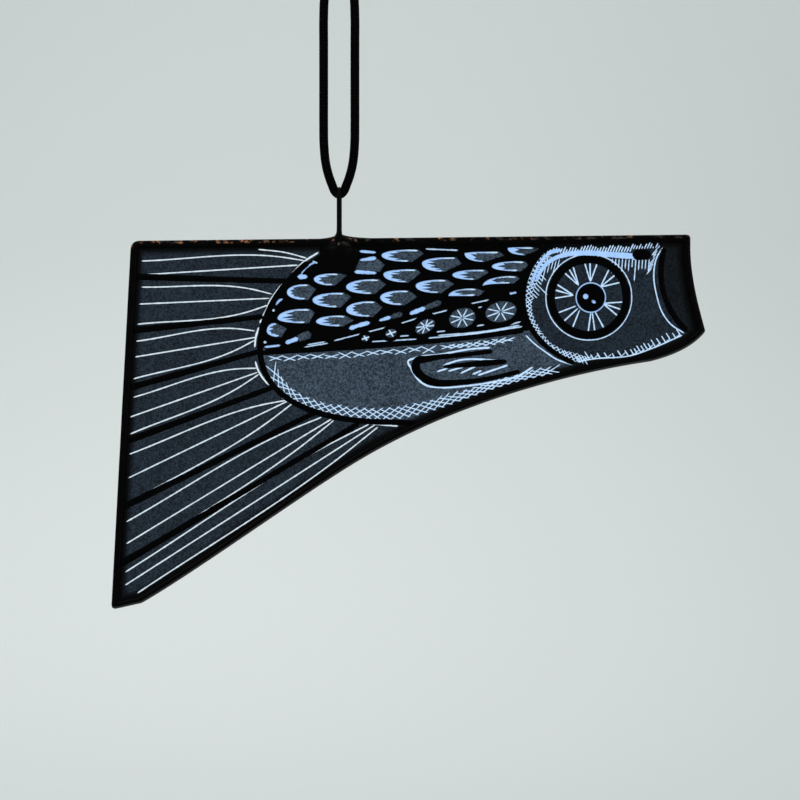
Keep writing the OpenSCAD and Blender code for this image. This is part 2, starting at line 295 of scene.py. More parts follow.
def tube(centres, radius, sides, reference):
    """Rings of points round a line of centres. Each ring stands square to the line, and starts
    at the side that the reference direction, less its share along the line, points to."""
    tangent = np.gradient(centres, axis=0)
    tangent /= np.linalg.norm(tangent, axis=1)[:, None]
    reference = np.broadcast_to(np.asarray(reference, float), centres.shape)
    side = reference - (reference * tangent).sum(1)[:, None] * tangent
    side /= np.linalg.norm(side, axis=1)[:, None]
    other = np.cross(tangent, side)
    turn = np.linspace(0, 2 * math.pi, sides, endpoint=False)
    radius = np.broadcast_to(np.asarray(radius, float), (len(centres),))
    ring = np.cos(turn)[None, :, None] * side[:, None] + np.sin(turn)[None, :, None] * other[:, None]
    return (centres[:, None] + radius[:, None, None] * ring).reshape(-1, 3)


def tube_faces(rows, sides):
    """The tube's skin and a flat cap on each end, all facing outwards."""
    skin = grid_faces(rows, sides, close_columns=True)[:, ::-1]
    near, far = list(range(sides)), list(range((rows - 1) * sides, rows * sides))
    return skin.tolist() + [near[::-1], far]


def lay_uv(piece, rows, columns, along, around):
    """A UV map on a grid's own rows and columns, in metres along and across."""
    layer = piece.data.uv_layers.new(name="weave")
    index = np.empty(len(piece.data.loops), np.int32)
    piece.data.loops.foreach_get("vertex_index", index)
    row, column = index // columns, index % columns
    starts = np.empty(len(piece.data.polygons), np.int32)
    totals = np.empty(len(piece.data.polygons), np.int32)
    piece.data.polygons.foreach_get("loop_start", starts)
    piece.data.polygons.foreach_get("loop_total", totals)
    face = np.repeat(np.arange(len(starts)), totals)
    v = column / columns
    high = np.maximum.reduceat(v, starts)[face]
    v = np.where((high > 0.75) & (v < 0.25), v + 1, v)
    uv = np.stack([row / max(rows - 1, 1) * along, v * around], 1)
    layer.data.foreach_set("uv", uv.ravel())


def cord_finish():
    """Black waxed braid: two sets of plaits that cross round the cord, painted shade in their grooves, and a
    dull sheen.
    """
    finish = Finish("waxed_cord", Specular_IOR_Level=0.012)
    uv = finish.node("ShaderNodeUVMap", {"uv_map": "weave"})
    split = finish.node("ShaderNodeSeparateXYZ", None, {0: uv})
    across = Wire(finish, split.socket.node.outputs[1])
    pitch, plaits = 2 * math.pi / (1.5 * MM), 2 * math.pi * 4 / (math.pi * CORD_D)
    one = (split * pitch + across * plaits).math("SINE", split * pitch + across * plaits)
    two = (split * pitch - across * plaits).math("SINE", split * pitch - across * plaits)
    plait = one * two
    fuzz = finish.noise(2600.0, 3.0)
    # Painted shade in part: the colour darkens with the plaits' bump height into the braid's grooves, and
    # the fuzz adds random tone.
    shade = finish.ramp(plait + fuzz * 0.6, (-0.2, 0.0), (0.9, 1.0))
    finish.feed(
        Base_Color=finish.mix(shade, (0.0002, 0.0002, 0.0002), (0.0016, 0.0017, 0.0016)),
        Roughness=0.55 + fuzz * 0.25,
        Normal=finish.bump(plait * 0.8 + fuzz * 0.35, 0.00012),
    )
    return finish.material


def add_cord():
    back_up = ROUTE_HALF[::-1][1:] * (-1, 1)
    flat = through(np.concatenate([ROUTE_HALF, back_up]), 0.45 * MM)
    centres = np.stack([flat[:, 0], np.zeros(len(flat)), flat[:, 1]], 1)
    sides = 20
    length = float(np.linalg.norm(np.diff(centres, axis=0), axis=1).sum())
    points = tube(centres, CORD_D / 2, sides, (0, 1, 0))
    cord = surface("cord", points, tube_faces(len(centres), sides), cord_finish())
    lay_uv(cord, len(centres), sides, length, math.pi * CORD_D)
    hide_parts("cord_strands", "cord_bight")
    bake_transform(cord)
    return cord, centres


def add_knot(material):
    """An overhand knot: a curve that winds three times round while it goes twice through, with
    its two ends led up and apart, and each end flared where it was cut."""
    turn = np.linspace(0, 2 * math.pi, 160, endpoint=False)
    wide = 1.75 + 0.62 * np.cos(3 * turn)
    loop = np.stack(
        [wide * np.cos(2 * turn), wide * np.sin(2 * turn), 0.95 * np.sin(3 * turn)], 1
    ) * MM + np.array(KNOT)
    sides = 14
    points = [tube(np.concatenate([loop, loop[:2]]), 0.86 * MM, sides, (0.3, 0.2, 1))[:-2 * sides]]
    faces = [grid_faces(len(loop), sides, close_rows=True, close_columns=True)[:, ::-1].tolist()]
    for side in (-1, 1):
        end = np.array([(0.3, 0, 0.5), (1.2, 0.3 * side, 2.4), (2.4, 0.2 * side, 5), (3.4, 0, 8.3)])
        line = through(end * (side, 1, 1) * MM + np.array(KNOT), 0.5 * MM)
        radius = 0.95 * MM + 0.22 * MM * np.clip(np.linspace(-4, 1.4, len(line)), 0, 1)
        count = sum(len(p) for p in points)
        points.append(tube(line, radius, sides, (0, 1, 0)))
        faces.append([[i + count for i in f] for f in tube_faces(len(line), sides)])
    knot = surface("knot", np.concatenate(points), sum(faces, []), material)
    lay_uv(knot, len(knot.data.vertices) // sides, sides, 0.11, math.pi * CORD_D)
    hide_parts("cord_knot")
    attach(knot, "knot")
    return knot


cord, cord_line = add_cord()
knot = add_knot(cord.data.materials[0])

# ---------------------------------------------------------------------------------------------
# The glass: one sheet of pale blue opal, cut to the fish's outline and ground along its edge.
# The CAD sheet is kept, and only gets its finish here.
# ---------------------------------------------------------------------------------------------
TAIL_TOP, CROWN, LIP, CHIN = (-46.4, -0.6), (78.4, 0.8), (81.7, -20.8), (69.5, -27.5)
BELLY, TAIL_HEEL, TAIL_TIP = (2.5, -50.8), (-44, -81.4), (-50.8, -82.9)


def bow(a, b, c, d, count=40):
    """A cubic curve from a to d, drawn towards b and c on the way."""
    t = np.linspace(0, 1, count + 1)[:, None]
    a, b, c, d = np.array([a, b, c, d], float)
    return (1 - t) ** 3 * a + 3 * (1 - t) ** 2 * t * b + 3 * (1 - t) * t**2 * c + t**3 * d


# The sides of the outline, clockwise from the upper tail corner, and the radius of the corner
# at the start of each
SIDES = [
    (np.array([TAIL_TOP, CROWN]), 2.2, 250),
    (bow(CROWN, (78, -7), (79.8, -14), LIP), 1.0, 44),
    (bow(LIP, (79, -24.3), (74.5, -26.2), CHIN), 1.0, 28),
    (bow(CHIN, (49, -30.5), (23, -38), BELLY), 12, 142),
    (bow(BELLY, (-10, -58.5), (-32, -74.5), TAIL_HEEL), 12, 112),
    (np.array([TAIL_HEEL, TAIL_TIP]), 3.0, 12),
    (np.array([TAIL_TIP, TAIL_TOP]), 1.0, 164),
]
CORNER_STEPS = 8


def unit(v):
    return v / np.linalg.norm(v, axis=-1, keepdims=True)


def outline(inset):
    """The panel's outline moved inwards, in millimetres. Each side is moved square to itself
    and cut short at both ends, and a curve through the cut ends rounds each corner. Rows of
    two insets match one to one."""
    starts = [unit(side[1] - side[0]) for side, _, _ in SIDES]
    ends = [unit(side[-1] - side[-2]) for side, _, _ in SIDES]
    count = len(SIDES)
    cuts, reach = [], []
    for j in range(count):
        half = math.acos(np.clip(starts[j] @ ends[j - 1], -1, 1)) / 2
        reach.append(inset * math.tan(half))
        cuts.append(max(SIDES[j][1] - inset, 0.2) * math.tan(half))
    parts = []
    for j, (side, _, steps) in enumerate(SIDES):
        along = np.concatenate([[0], np.cumsum(np.linalg.norm(np.diff(side, axis=0), axis=1))])
        after = (j + 1) % count
        s = np.linspace(reach[j] + cuts[j], along[-1] - reach[after] - cuts[after], steps + 1)
        ds = 0.05
        at = np.stack([np.interp(s, along, side[:, i]) for i in (0, 1)], 1)
        on = np.stack([np.interp(np.minimum(s + ds, along[-1]), along, side[:, i]) for i in (0, 1)], 1)
        off = np.stack([np.interp(np.maximum(s - ds, 0), along, side[:, i]) for i in (0, 1)], 1)
        way = unit(on - off)
        moved = at + inset * np.stack([way[:, 1], -way[:, 0]], 1)
        turn = np.linspace(0, 1, CORNER_STEPS + 1)[1:-1, None]
        corner = moved[0] - starts[j] * cuts[j]
        if parts:
            before = parts[-1][-1]
            parts.append((1 - turn) ** 2 * before + 2 * (1 - turn) * turn * corner + turn**2 * moved[0])
        parts.append(moved)
    first, last = parts[0][0], parts[-1][-1]
    corner = first - starts[0] * cuts[0]
    parts.append((1 - turn) ** 2 * last + 2 * (1 - turn) * turn * corner + turn**2 * first)
    return np.concatenate(parts)


def placed(flat, y):
    """Panel millimetres to the model's metres, at depth y."""
    flat = np.asarray(flat, float)
    y = np.broadcast_to(y, len(flat))
    return np.stack([flat[:, 0] * MM, y, TOP_Z + flat[:, 1] * MM], 1)


def coat(node, material):
    """Gives a kept CAD node its finish."""
    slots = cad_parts[node].data.materials
    slots.clear()
    slots.append(material)


def glass_finish():
    """Pale blue opal: milky wisps in the sheet, and a face with a faint rolled wave."""
    finish = Finish("opal_glass", Transmission_Weight=0.12, IOR=1.5, Coat_Weight=0.3)
    wisp = finish.ramp(finish.noise(46.0, 4.0, 0.6), (0.35, 0.0), (0.68, 1.0))
    finish.feed(
        Base_Color=finish.mix(wisp, (0.82, 0.91, 0.99), (0.76, 0.87, 0.99)),
        Roughness=0.16 + wisp * 0.1,
        Normal=finish.bump(finish.noise(60.0, 2.0), 0.0003, 0.5),
    )
    return finish.material


coat("glass_panel", glass_finish())

# ---------------------------------------------------------------------------------------------
# The coloured washes: thin blue enamel fired on the front under the matt coat, where a shape is
# to glow blue, and one broad coat of it on the back of the body and the head.
# ---------------------------------------------------------------------------------------------
TINT_Y, TINT_T = -1.501 * MM, 0.006 * MM  # the faint tint all over body and head
WASH_Y, WASH_T = -1.512 * MM, 0.015 * MM
rng = np.random.default_rng(7)


def scratch(points, width, end_width=None, wobble=0.1, step=0.45):
    """The outline of one stroke: a smooth line through the points, as wide as asked, rounded
    off at both ends and a little uneven, as a hand leaves it."""
    line = through(points, step)
    if len(line) < 6:
        line = through(points, step / 3)
    run = np.concatenate([[0], np.cumsum(np.linalg.norm(np.diff(line, axis=0), axis=1))])
    wide = np.interp(run, [0, run[-1]], [width, end_width or width])
    wide = wide * (1 + wobble * rng.normal(size=len(run)))
    to_end = np.minimum(run, run[-1] - run) / (0.5 * wide)
    wide = wide * np.sqrt(np.clip(1 - (1 - np.minimum(to_end, 1)) ** 2, 0.02, 1))
    side = unit(np.gradient(line, axis=0))[:, ::-1] * (1, -1)
    edge = side * wide[:, None] / 2
    return np.concatenate([line + edge, (line - edge)[::-1]])


def ellipse(centre, rx, rz, lean=0.0, count=40):
    """Points round a leaning ellipse."""
    turn = np.linspace(0, 2 * math.pi, count, endpoint=False)
    x, z = rx * np.cos(turn), rz * np.sin(turn)
    lean = math.radians(lean)
    return np.array(centre) + np.stack(
        [x * math.cos(lean) - z * math.sin(lean), x * math.sin(lean) + z * math.cos(lean)], 1
    )


def covers(polygon, at):
    """Which places a polygon winds round: its sides that pass a place upwards on the left, less
    those that pass downwards."""
    at = np.asarray(at)
    found = np.zeros(len(at), bool)
    near = ((at >= polygon.min(0)) & (at <= polygon.max(0))).all(1)
    x, z = at[near].T[..., None]
    (ax, az), (bx, bz) = polygon.T, np.roll(polygon, -1, 0).T
    left = (bx - ax) * (z - az) - (bz - az) * (x - ax)
    winds = ((az <= z) & (bz > z) & (left > 0)).sum(1) - ((az > z) & (bz <= z) & (left < 0)).sum(1)
    found[near] = winds != 0
    return found


def film(name, inside, outside, back, front, material, together=False, lines=()):
    """A thin coat: the flat area that lies inside every polygon of the first list and outside
    every one of the second, cut into triangles, doubled front and back and walled round its
    edges. With together set, it is the area inside any polygon of the first list."""
    points, edges = [], []
    for polygon in [*inside, *outside, *lines]:
        index = range(len(points), len(points) + len(polygon))
        points += [Vector(p) for p in polygon.tolist()]
        edges += list(zip(index, [*index[1:], index[0]]))
    flat, _, cells, _, _, _ = delaunay_2d_cdt(points, edges, [], 0, 1e-5, False)
    flat, cells = np.array([tuple(v) for v in flat]), np.array(cells)
    middle = flat[cells].mean(1)
    within = np.array([covers(polygon, middle) for polygon in inside])
    keep = within.any(0) if together else within.all(0)
    for polygon in outside:
        keep &= ~covers(polygon, middle)
    cells = cells[keep]
    used, cells = np.unique(cells, return_inverse=True)
    cells = cells.reshape(-1, 3)
    flat = flat[used]
    count = len(flat)
    sides = np.concatenate([cells[:, [0, 1]], cells[:, [1, 2]], cells[:, [2, 0]]])
    key = sides[:, 0] * count + sides[:, 1]
    rim = sides[~np.isin(key, sides[:, 1] * count + sides[:, 0])]
    wall = np.stack([rim[:, 1], rim[:, 0], rim[:, 0] + count, rim[:, 1] + count], 1)
    faces = cells.tolist() + (cells[:, ::-1] + count).tolist() + wall.tolist()
    points = np.concatenate([placed(flat, front), placed(flat, back)])
    piece = surface(name, points, faces, material, smooth=False)
    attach(piece, "panel")
    return piece, np.concatenate([flat, flat])


BODY_EDGE = np.concatenate([
    bow((-2.5, -2.6), (-11.5, -7.5), (-17.6, -16), (-17.6, -24.5), 24)[:-1],
    bow((-17.6, -24.5), (-17.6, -36), (-5, -41), (11, -41), 30),
    [(14, -41.1), (17.5, -41.3)],
])
GILL_EDGE = bow((44.8, -3.2), (39, -10), (38.5, -22), (52.6, -28), 30)
MOUTH_EDGE = bow((72.6, -2.2), (70.5, -9), (72.5, -16), (77.6, -20.8), 20)
SIDE_LINE = bow((-17.6, -25.6), (0, -24.6), (22, -23.6), (41.2, -20.7), 30)
BLOB_AT, BLOB_R = (0, -2.9), 4.2
COAT_INSET = 1.6                         # inset of the coat's edge, under the solder's lip
PANEL = outline(COAT_INSET)
EYE_AT = np.array((55.7, -13.15))
IRIS_AT, IRIS_R, PUPIL_R = (56.15, -13.25), 3.42, 3.13


def far_side(line, run, far):
    """All that lies on the mouth's side of a line, as far as asked."""
    first, last = line[0], line[-1]
    return np.concatenate([
        [(first[0], far)], line, [(last[0] + run, -far), (2 * far, -far), (2 * far, far)],
    ])


BODY_SIDE, HEAD_SIDE = far_side(BODY_EDGE, 20, 100), far_side(GILL_EDGE, 1, 95)
MOUTH_SIDE = far_side(MOUTH_EDGE, 8, 90)


# Scales: the tip, the ends of the upper and the lower arm of its pale rim, and its right point
SCALES = np.array([
    [(-5.7, -9.1), (-0.1, -7.8), (-0.9, -10.6), (1.9, -8.2)],
    [(-11.7, -12.1), (-6.8, -10.2), (-6.9, -13.8), (-5.1, -11.4)],
    [(-6, -13.8), (1.1, -12.1), (0.3, -15.5), (2.8, -13.1)],
    [(-13.8, -17.9), (-6.6, -15.7), (-6.7, -19), (-5.4, -16.6)],
    [(-5.2, -18.6), (1.3, -17.2), (1, -19.7), (3.4, -18.3)],
    [(-16.2, -20.7), (-14.2, -18.9), (-12.8, -22.1), (-11.6, -20.1)],
    [(1.5, -10.9), (8.9, -9.1), (8, -12.5), (10.5, -10.3)],
    [(1.5, -16), (8, -14), (7.6, -17.6), (9.7, -15.5)],
    [(9.4, -3.8), (17.8, -2.5), (16.3, -5.3), (18.9, -3.5)],
    [(18.4, -5.6), (26.1, -4.2), (23.6, -7.5), (27.4, -5.7)],
    [(9.8, -8), (17.3, -6.9), (15.5, -9.9), (18.3, -7.8)],
    [(17, -10.6), (24, -9.2), (22.8, -12.3), (25.7, -10.2)],
    [(9.1, -13.2), (15.5, -11.6), (14.6, -15), (17.5, -13.1)],
    [(27.9, -3.4), (35.8, -3), (32.5, -5.3), (36.9, -3.9)],
    [(34, -6.3), (41.3, -5.1), (40.6, -7.4), (42.4, -6)],
    [(37.5, -2.2), (43.6, -2), (41.5, -3.8), (45, -2.4)],
    [(25.2, -8.2), (32.6, -7), (30.7, -9.3), (33.4, -7.7)],
    [(31.9, -10.8), (39.6, -8.4), (38.9, -10.1), (40.3, -9)],
    [(24.3, -12.9), (30.4, -11.2), (31.2, -12.9), (32.6, -11.8)],
])
SCALE_BULGE = 0.62
# Half-hidden scales along the field's lower edge: both ends, and the widths there
SLIVERS = [
    ((-12, -23.4), (-6.2, -21.3), 0.9, 2.1),
    ((15.7, -16.9), (22.8, -14.2), 0.9, 1.3),
    ((8.9, -18.4), (14.2, -16.8), 0.8, 1.2),
]


def scale_curve(tip, up, low):
    """The round left side of a scale: two quarter curves, from the upper arm's end round the
    tip to the lower arm's end."""
    lift = np.array((0, (up[1] - tip[1]) * SCALE_BULGE))
    fall = np.array((0, (tip[1] - low[1]) * SCALE_BULGE))
    above = bow(up, up - ((up[0] - tip[0]) * SCALE_BULGE, 0), tip + lift, tip, 12)
    below = bow(tip, tip - fall, low - ((low[0] - tip[0]) * SCALE_BULGE, 0), low, 12)
    return np.concatenate([above, below[1:]])


def scale_window(scale):
    tip, up, low, point = scale
    return np.concatenate([scale_curve(tip, up, low), [point]])


def crescent(scale):
    """The blue of a scale: inside its round side, with ragged fingers that reach to the right."""
    tip, up, low, _ = scale
    curve = scale_curve(tip, up, low)[3:-3]
    count = len(curve)
    depth = min(0.42 * (max(up[0], low[0]) - tip[0]), 3)
    fingers = max(int((up[1] - low[1]) / 0.5), 3)
    place = np.linspace(count - 1, 0, 2 * fingers + 1)
    reach = np.where(np.arange(2 * fingers + 1) % 2, 1.0, 0.45) * depth
    reach = reach * (1 + 0.2 * rng.normal(size=len(place)).clip(-1.4, 1.4))
    reach[[0, -1]] = 0.4
    base = np.stack([np.interp(place, np.arange(count), curve[:, i]) for i in (0, 1)], 1)
    middle = (up + low) / 2 - tip
    return np.concatenate([curve + (0.1, 0), base + reach[:, None] * unit(middle)])


def scale_arms(scale):
    """Two pale lines just inside a scale's round side, along its upper and its lower arm."""
    tip, up, low, _ = scale
    curve = scale_curve(tip, up, low)
    centre = (up + low) / 2
    inner = curve + 0.32 * unit(centre - curve)
    return [scratch(inner[0:11:3], 0.36), scratch(inner[14:25:3], 0.36)]


crescents = [crescent(scale) for scale in SCALES]
sliver_windows = [scratch([tip, end], w0, w1) for tip, end, w0, w1 in SLIVERS]
BLUE_STROKES = [
    *(scratch([tip, np.add(tip, end) / 2], w0, w0) for tip, end, w0, _ in SLIVERS),
    scratch([(2.2, -20.2), (4.6, -19.4), (6.9, -18.8)], 0.9),
    scratch([(4.5, -2.9), (8.3, -3.2)], 0.6),
    scratch([(4.6, -4.9), (8.3, -4.4)], 0.5, 1.0),
    scratch([(3.4, -7.5), (8.4, -7.8)], 0.9, 0.6),
    scratch([(-9.3, -8.6), (-7, -8.6)], 1.0),
    scratch([(-8.5, -8.2), (-7.8, -7.1), (-6.4, -5.9), (-5.2, -5.3)], 0.4),
    scratch([(-14.1, -15), (-13.4, -14), (-12.5, -13.5)], 0.5),
    scratch([(-16.7, -24.3), (-13, -23.9)], 0.5),
    scratch([(38, -12.4), (39.6, -12.1)], 0.5),
]
FIELD_STROKES = [
    scratch([(19.2, -2.4), (26.6, -2.7)], 0.35),
    scratch([(-5.9, -5.1), (-4.8, -5.6)], 0.4),
    ellipse((-14.6, -16.1), 0.3, 0.3),
    ellipse((-16.5, -23.2), 0.35, 0.3),
]
GILL_BAND = scratch([(49.5, -2.6), (47, -3.3), (45.1, -5.2), (43.7, -8), (42.8, -11)], 0.9, 0.4)
LID_LINE = [(44, -9.3), (45.3, -6.9), (47.4, -4.9), (50.4, -3.7), (54.8, -3.3), (60.9, -3.7), (66.8, -4.1)]
LID_BAND = scratch(LID_LINE, 0.8, 1.5)
IRIS = ellipse(IRIS_AT, IRIS_R, IRIS_R, count=64)
washes = [*crescents, *BLUE_STROKES, GILL_BAND, LID_BAND, IRIS]


def wash_finish(name, deep, pale):
    """Blue enamel: brushed on thin, so it is deeper where the brush stopped."""
    finish = Finish(name, Specular_IOR_Level=0.25)
    pool = finish.ramp(finish.noise(900.0, 4.0, 0.65), (0.3, 0.0), (0.7, 1.0))
    finish.feed(
        Base_Color=finish.mix(pool, deep, pale),
        Roughness=0.3 + pool * 0.2,
        Normal=finish.bump(pool, 0.00004, 0.6),
    )
    return finish.material


wash_blue = wash_finish("enamel_blue", (0.30, 0.50, 0.90), (0.40, 0.60, 0.95))
wash, _ = film("enamel_front", washes, [], WASH_Y, WASH_Y - WASH_T, wash_blue, together=True)
tint_blue = wash_finish("enamel_tint", (0.48, 0.68, 0.97), (0.60, 0.78, 1.0))
tint, _ = film("enamel_tint", [PANEL, BODY_SIDE], [], TINT_Y, TINT_Y - TINT_T, tint_blue)
coat("enamel_back", wash_finish("enamel_back_blue", (0.24, 0.40, 0.78), (0.34, 0.52, 0.88)))

# ---------------------------------------------------------------------------------------------
# The matt coat: slate paint stippled on the glass, then scratched through with a stick, so that
# every pale line is bare glass. It is dark on tail and head and lighter on the body.
# ---------------------------------------------------------------------------------------------
MATT_BACK, MATT_FRONT = -1.5 * MM, -1.56 * MM
SHADE_AT = (2.5, 3.8)                    # insets at which the painted shade band along the rim fades out
FINE, LINE = 0.31, 0.42
SHADE_LINES = [outline(inset) for inset in SHADE_AT]


def hatch(path, half, pitch, slant, width=0.3):
    """Crossing strokes along a path: at every pitch one leans forwards and one back."""
    line = through(path, 0.2)
    run = np.concatenate([[0], np.cumsum(np.linalg.norm(np.diff(line, axis=0), axis=1))])
    strokes = []
    for s in np.arange(pitch / 2, run[-1] - slant, pitch):
        reach = np.interp(s / run[-1], np.linspace(0, 1, len(half)), half)
        ends = [np.array([np.interp(s + d, run, line[:, i]) for i in (0, 1)]) for d in (0, slant)]
        side = unit(ends[1] - ends[0])[::-1] * (-1, 1) * reach
        jog = 0.12 * rng.normal(size=(2, 2))
        strokes.append(scratch([ends[0] + side + jog[0], ends[1] - side], width))
        strokes.append(scratch([ends[0] - side, ends[1] + side + jog[1]], width))
    return strokes


def comb(starts, reach, width=0.3, uneven=0.15):
    """A row of short strokes that all lean the same way."""
    strokes = []
    for start in starts:
        end = np.array(start) + np.array(reach) * (1 + uneven * rng.normal())
        strokes.append(scratch([start, end], width))
    return strokes


def row(first, last, pitch):
    """Places a pitch apart along a straight line."""
    first, last = np.array(first, float), np.array(last, float)
    count = max(int(np.linalg.norm(last - first) / pitch), 1)
    return [first + (last - first) * i / count for i in range(count + 1)]


# Each group of tail lines: where each line starts at the tail, and where it ends by the body
TAIL_LINES = [
    [((-44.1, -5.1), (-7.8, -5)), ((-44.4, -8.2), (-9.1, -6))],
    [((-44.1, -10.9), (-14.9, -12.5)), ((-44.6, -14.7), (-15.4, -13.4)), ((-45, -19.2), (-15.8, -14.9))],
    [((-45.3, -23), (-18.7, -20.7)), ((-45.5, -26.5), (-18.5, -22.1)), ((-45.9, -31.4), (-18.7, -22.7))],
    [((-45.9, -35.5), (-18.3, -29)), ((-46.6, -39.9), (-18.1, -29.9)), ((-46.6, -43.7), (-17.8, -30.3))],
    [((-46.8, -48.2), (-11.4, -36.1)), ((-47, -53.5), (-11.4, -36.3)), ((-47.3, -59.3), (-10.3, -36.8))],
    [((-47.5, -63.3), (-3.8, -39.9)), ((-47.5, -68.2), (-1.3, -40.1)), ((-47.7, -72), (-1.1, -40.6))],
    [((-47.7, -74.5), (6.7, -41.5)), ((-47.7, -77.4), (8.2, -41.5)), ((-45, -79.2), (8.7, -42.1))],
]
TAIL_BEND, TAIL_SWELL = 0.86, 0.8
OVAL_HUG = [
    [(-4.5, -3.1), (-8, -5.4), (-10.7, -8.2)],
    [(-12.3, -9.8), (-14.9, -13.2), (-16.7, -16.9), (-17.7, -19)],
    [(-17.9, -19.8), (-18.6, -22.3), (-18.8, -24.4)],
    [(-18.7, -27.4), (-18.1, -29.3), (-17, -31.2), (-15.6, -32.8)],
    [(-14.5, -33.7), (-12.7, -35.5), (-10.7, -36.8)],
    [(-5.6, -38.6), (-1.1, -39.9), (3.3, -40.8)],
    [(5.6, -41.2), (13.2, -41.9)],
]


def tail_strokes():
    """Fans of lines, the outer ones swollen away from the middle one before they close in."""
    strokes = [scratch([(-18.1, -2.5), (-12, -3.2), (-7.1, -4.5)], 0.3)]
    for group in TAIL_LINES:
        for i, (start, end) in enumerate(group):
            start, end = np.array(start), np.array(end)
            swell = (0, TAIL_SWELL * (1 - i))
            strokes.append(scratch([start, start + TAIL_BEND * (end - start) + swell, end], FINE, 0.3))
    return strokes + [scratch(points, LINE) for points in OVAL_HUG]


def beside_side_line(u, off):
    """A place off the black side line, at a distance across from the eye."""
    return np.array((u, np.interp(u, SIDE_LINE[:, 0], SIDE_LINE[:, 1]) + off))


# The starred spots on the side: centre, half length, half height and lean
STARS = [((19.2, -19.7), 2.3, 1.35, 28), ((27.5, -17.8), 2.9, 2.1, 15), ((36.1, -16.4), 3.4, 2.2, 12)]
CROSSES = [((5.9, -22.3), 0.9), ((11.6, -21.2), 1.25)]
STAR_ARMS = 8
DASHES = [
    [(-7.8, -24.3), (-2.3, -23.4)], [(-7.2, -23.8), (-3, -23.1)], [(-1.2, -22.9), (10.8, -19.8)],
    [(13.8, -19), (18, -17.7)], [(20.5, -17), (24.9, -15.9)], [(29.4, -14.6), (33.8, -13.7)],
    [(31, -15.5), (32, -15.3)], [(6.8, -23.1), (17.4, -22.5)], [(19.8, -22.3), (31, -21.2), (41, -19.7)],
    [(22, -21.7), (33, -20.7), (40.4, -19.4)], [(13.2, -21.9), (15.7, -21.7)],
    [(21.7, -20.9), (23.7, -20.7)], [(30.4, -19.6), (32.5, -19.3)], [(36.8, -19.7), (40.6, -18.6)],
]
FIN_EDGE = [
    (33.8, -24.4), (29.7, -24.7), (22.7, -25.9), (16.7, -26.8), (15.4, -27.4), (16.1, -29.1),
    (17.7, -31.6), (19.4, -32.8), (22.5, -33.3), (28, -33), (34.7, -32), (40.2, -30.6), (43.3, -28.7),
]
FIN_RAYS = [
    [(23.2, -28.4), (26.1, -27.4), (36.9, -27.3)], [(21.8, -29.8), (24.3, -29)],
    [(24.3, -29.7), (29.1, -28.3)], [(27, -30.2), (30.8, -28.4)], [(29.7, -30.4), (31.9, -29.5)],
    [(30.9, -30.6), (37.7, -28.3)],
]
GILL_LINE = [(41.6, -21.6), (43.3, -23.3), (45.8, -25.2), (48.5, -27), (52.2, -28.3)]
BELLY_BAND = [
    (-15.3, -27), (-14.3, -31), (-11, -34.9), (-5, -37.8), (3, -39.1), (11, -39.2), (20, -37.4),
    (30, -34.2), (39, -31.4), (46, -29.7), (51, -28.9),
]
BELLY_HALF = [1.3, 1.55, 1.6, 1.5, 1.5, 1.3, 0.95, 0.8, 0.9, 1.1]


def star(centre, rx, rz, lean):
    """Strokes from near the middle of a spot out to its edge, each wider outwards."""
    strokes = []
    for turn in np.arange(STAR_ARMS) * 2 * math.pi / STAR_ARMS + 0.2:
        tilt = math.radians(lean)
        x, z = rx * math.cos(turn), rz * math.sin(turn)
        tip = np.array((x * math.cos(tilt) - z * math.sin(tilt), x * math.sin(tilt) + z * math.cos(tilt)))
        strokes.append(scratch([np.array(centre) + 0.06 * tip, np.array(centre) + tip], 0.26, 0.3))
    return strokes


def body_strokes():
    """Scale rims, the starred side band, the belly's hatching and the fin."""
    strokes = [arm for scale in SCALES for arm in scale_arms(scale)]
    strokes += [scratch(points, 0.3) for points in DASHES]
    for centre, rx, rz, lean in STARS:
        strokes += star(centre, rx, rz, lean)
    for (x, z), r in CROSSES:
        for dx, dz in ((r, 0.35 * r), (-0.5 * r, 0.8 * r)):
            strokes.append(scratch([(x - dx, z - dz), (x + dx, z + dz)], 0.35))
    for u in [*np.arange(-15.8, 21, 3.1), *np.arange(22.5, 37.5, 1.9)]:
        high, low = -0.95 + 0.15 * rng.normal(), -2.1 + 0.15 * rng.normal()
        strokes.append(scratch([beside_side_line(u, high), beside_side_line(u + 3.1, low)], 0.24))
        strokes.append(scratch([beside_side_line(u + 0.2, low), beside_side_line(u + 3.5, high)], 0.24))
    strokes += hatch(BELLY_BAND, BELLY_HALF, 1.95, 4.7, 0.24)
    strokes += [scratch(FIN_EDGE, LINE), *(scratch(points, 0.4) for points in FIN_RAYS)]
    return strokes + [scratch(GILL_LINE, FINE)]


# Fans round the eye: the angles of three outer ends, and of their inner ends
EYE_FANS = [
    ((97, 88, 76), (84, 84, 84)), ((135, 125, 117), (131, 131, 131)), ((158, 168, 182), (173, 173, 173)),
    ((207, 224, 242), (215, 226, 234)), ((269, 280, 296), (278, 283, 293)),
    ((352, 339, 327), (336, 336, 336)), ((25, 40, 54), (41, 41, 41)),
]
FAN_OUT, FAN_IN = 7.8, 3.4
MOUTH_LINE = [
    (72.2, -2.1), (70.9, -4.2), (70.2, -8), (70.9, -13), (72, -16.4), (73.9, -19.1), (77, -21.2),
]
CHEEK_BAND = [
    (47.6, -3.1), (45.4, -5), (43.4, -8.7), (42.2, -13), (41.9, -15.6), (42.4, -17.7), (43.8, -20.5),
    (45.7, -23.3), (48.1, -25), (52.6, -26.6), (55.9, -27.4),
]
CHEEK_HALF = [1.0, 1.25, 1.15, 1.05, 0.95, 0.9]
JAW_LINE = [(53.1, -27.6), (56.3, -27), (65.4, -26.1), (70, -24.5), (76.6, -21.6)]
RING_OUT = 9.6


def polar(centre, radius, degrees):
    turn = math.radians(degrees)
    return np.array(centre) + radius * np.array((math.cos(turn), math.sin(turn)))


